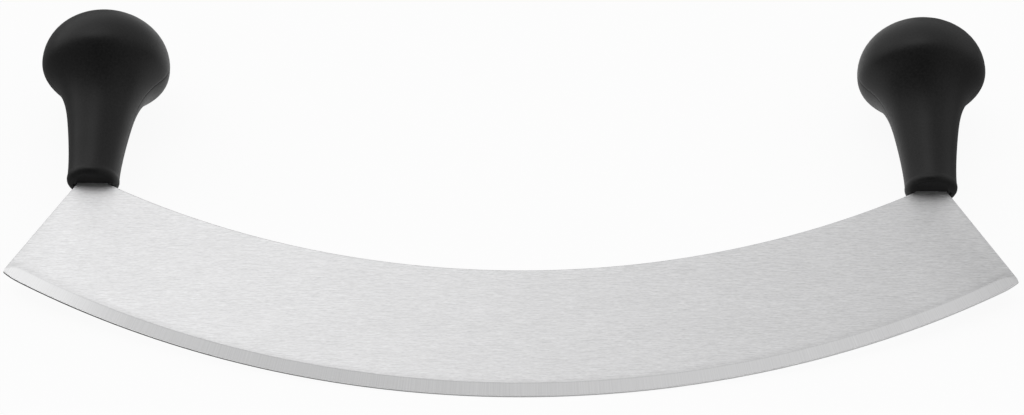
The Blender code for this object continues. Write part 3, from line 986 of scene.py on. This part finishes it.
class KNIFE_OT_set_stage(Operator):
    """Lay a white floor and set up the soft light and the camera"""

    bl_idname = "pizza_knife.set_stage"
    bl_label = "Set the stage"

    def execute(self, context):
        studio = context.scene.studio_settings
        self.lay_floor(studio)
        self.light_world(context.scene, studio)
        self.aim_camera(context.scene, studio)
        context.scene.view_settings.view_transform = "Standard"
        return {"FINISHED"}

    @staticmethod
    def seen_straight(nodes, links):
        """1 for what the camera sees itself or through glass, and 1 for what gloss mirrors."""
        path = nodes.new("ShaderNodeLightPath")
        camera, glass = path.outputs["Is Camera Ray"], path.outputs["Is Transmission Ray"]
        return calculate(nodes, links, "MAXIMUM", camera, glass), path.outputs["Is Glossy Ray"]

    @classmethod
    def lay_floor(cls, studio):
        """A matt floor. Camera and gloss see mostly plain white, dimmer beside the knife for gloss."""
        begin_piece()
        bpy.ops.mesh.primitive_plane_add(size=FLOOR_SIZE)
        floor = bpy.context.active_object
        floor.name = "studio_floor"
        material, nodes, links, shader = new_material("white_floor")
        shader.inputs["Base Color"].default_value = (*studio.floor, 1)
        shader.inputs["Roughness"].default_value = FLOOR_ROUGHNESS
        shader.inputs["Specular IOR Level"].default_value = 0
        plain, glossy = cls.seen_straight(nodes, links)
        amount = multiply(nodes, links, calculate(nodes, links, "MAXIMUM", plain, glossy), studio.floor_glow)
        x, _, _ = split_vector(nodes, links, object_coordinates(nodes))
        aside = calculate(nodes, links, "ABSOLUTE", x)
        dim = studio.lit_half + studio.lit_fade
        below = fade(nodes, links, aside, studio.lit_half, dim, 1, studio.side_glow)
        glow = nodes.new("ShaderNodeEmission")
        links.new(calculate(nodes, links, "MAXIMUM", plain, below), glow.inputs["Strength"])
        blend = nodes.new("ShaderNodeMixShader")
        links.new(amount, blend.inputs["Fac"])
        links.new(shader.outputs["BSDF"], blend.inputs[1])
        links.new(glow.outputs["Emission"], blend.inputs[2])
        links.new(blend.outputs["Shader"], nodes["Material Output"].inputs["Surface"])
        wear_material(floor, material)

    @classmethod
    def light_world(cls, scene, studio):
        """Soft light, brighter from behind, with a wide soft box high behind. The camera sees plain white."""
        world = bpy.data.worlds.new("white_studio")
        scene.world = world
        world.use_nodes = True
        nodes, links = world.node_tree.nodes, world.node_tree.links
        direction = nodes.new("ShaderNodeTexCoord").outputs["Generated"]
        side, deep, high = split_vector(nodes, links, direction)
        tilt = calculate(nodes, links, "ARCTAN2", high, deep)
        back = fade(nodes, links, side, *BACK_CHANGE, studio.back_left, studio.back_right)
        front = fade(nodes, links, side, -FRONT_CHANGE, 0, studio.front_left, studio.front)
        front = fade(nodes, links, side, 0, FRONT_CHANGE, front, studio.front_right)
        turn = studio.room_turn
        room = fade(nodes, links, tilt, turn - ROOM_BLUR, turn + ROOM_BLUR, back, front)
        off_tilt = distance(nodes, links, tilt, studio.softbox_tilt)
        off_side = distance(nodes, links, side, studio.softbox_side)
        reach, half = studio.softbox_reach, studio.softbox_half
        tall = fade(nodes, links, off_tilt, reach, reach + studio.softbox_fade, studio.softbox, 0)
        wide = fade(nodes, links, off_side, half, half + studio.softbox_edge, 1, 0)
        light = calculate(nodes, links, "ADD", room, multiply(nodes, links, tall, wide))
        plain, _ = cls.seen_straight(nodes, links)
        white = nodes.new("ShaderNodeMix")
        white.inputs["B"].default_value = 1
        links.new(plain, white.inputs["Factor"])
        links.new(light, white.inputs["A"])
        nodes["Background"].inputs["Color"].default_value = (1, 1, 1, 1)
        links.new(white.outputs["Result"], nodes["Background"].inputs["Strength"])

    @staticmethod
    def aim_camera(scene, studio):
        """The camera looks at the middle between the knobs' feet."""
        data = bpy.data.cameras.new("camera")
        data.lens = studio.lens
        data.shift_x = studio.shift_x
        data.shift_y = studio.shift_y
        camera = bpy.data.objects.new("camera", data)
        scene.collection.objects.link(camera)
        turn = (
            Matrix.Rotation(studio.yaw, 4, "Y")
            @ Matrix.Rotation(studio.pitch, 4, "X")
            @ Matrix.Rotation(studio.roll, 4, "Z")
        )
        camera.matrix_world = KNIFE_TO_WORLD @ turn @ Matrix.Translation((0, 0, studio.distance))
        scene.camera = camera


class KNIFE_PT_panel(Panel):
    """The knife's steps and settings"""

    bl_idname = "KNIFE_PT_panel"
    bl_label = "Pizza Knife"
    bl_space_type = "VIEW_3D"
    bl_region_type = "UI"
    bl_category = "Pizza Knife"

    def draw(self, context):
        layout = self.layout
        for operator in OPERATORS:
            layout.operator(operator.bl_idname)
        for title, settings in (
            ("Knobs", context.scene.knob_sizes),
            ("Blade", context.scene.blade_sizes),
            ("Finishes", context.scene.knife_finishes),
            ("Studio", context.scene.studio_settings),
        ):
            box = layout.box()
            box.label(text=title)
            for name in settings.__annotations__:
                box.prop(settings, name)


OPERATORS = (KNIFE_OT_dress_blade, KNIFE_OT_turn_knobs, KNIFE_OT_finish_dowels, KNIFE_OT_set_stage)
GROUPS = {
    "knob_sizes": KnobSizes,
    "blade_sizes": BladeSizes,
    "knife_finishes": Finishes,
    "studio_settings": StudioSettings,
}


def register():
    """Add the settings, the steps and the panel."""
    for group in GROUPS.values():
        bpy.utils.register_class(group)
    for name, group in GROUPS.items():
        setattr(bpy.types.Scene, name, PointerProperty(type=group))
    for cls in (*OPERATORS, KNIFE_PT_panel):
        bpy.utils.register_class(cls)


def unregister():
    """Take them out again."""
    for cls in (KNIFE_PT_panel, *reversed(OPERATORS)):
        bpy.utils.unregister_class(cls)
    for name, group in reversed(list(GROUPS.items())):
        delattr(bpy.types.Scene, name)
        bpy.utils.unregister_class(group)


def main():
    """Run every step in order."""
    register()
    bpy.ops.pizza_knife.dress_blade()
    bpy.ops.pizza_knife.turn_knobs()
    bpy.ops.pizza_knife.finish_dowels()
    bpy.ops.pizza_knife.set_stage()


if __name__ == "__main__":
    main()
